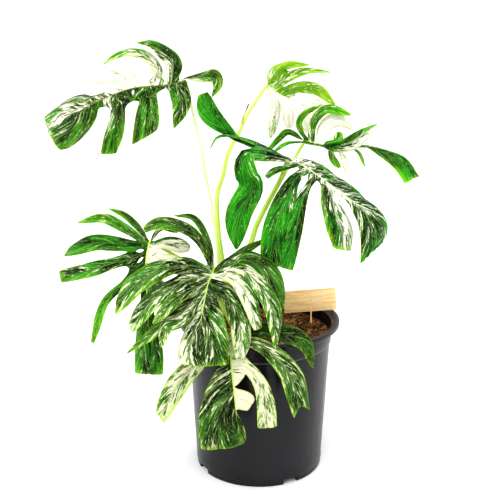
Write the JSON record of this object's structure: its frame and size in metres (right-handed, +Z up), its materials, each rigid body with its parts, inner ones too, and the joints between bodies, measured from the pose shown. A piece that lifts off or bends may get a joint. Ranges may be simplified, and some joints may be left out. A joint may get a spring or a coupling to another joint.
{
  "type": "potted variegated monstera",
  "caption": "Variegated monstera plant: deeply split, marbled leaves on curved stalks from a short leaning stem, in a round dark plastic pot of soil with a small wooden tag.",
  "frame": {"origin": "centre of the pot's foot, on the surface it stands on", "axes": "+Z up; -Y to the front, the side the picture shows; +X to the right seen from the front"},
  "size_m": [0.5544, 0.3364, 0.6349],
  "materials": {
    "pot": "satin, faintly speckled",
    "soil": "coarse, crumbly, matt",
    "stem": "green, ringed with pale leaf scars",
    "stalk": "smooth lime green",
    "stalk_pale": "smooth pale cream green",
    "leaf_marbled": "glossy dark green marbled with cream",
    "leaf_light": "satin lime green and white",
    "leaf_bright": "satin bright green and cream",
    "tag": "light bare wood"
  },
  "bodies": {
    "root": {"pot": "pot", "soil": "soil", "main_stem": "stem", "tag_plate": "tag", "tag_stake": "tag", "leaf_upper_left": "leaf_marbled", "stalk_upper_left": "stalk_pale", "leaf_upper_right": "leaf_light", "stalk_upper_right": "stalk", "leaf_centre_right": "leaf_marbled", "stalk_centre_right": "stalk", "leaf_right_back": "leaf_bright", "stalk_right_back": "stalk", "leaf_left": "leaf_marbled", "stalk_left": "stalk", "leaf_front": "leaf_marbled", "stalk_front": "stalk", "leaf_low_front": "leaf_marbled", "stalk_low_front": "stalk"}
  },
  "joints": []
}
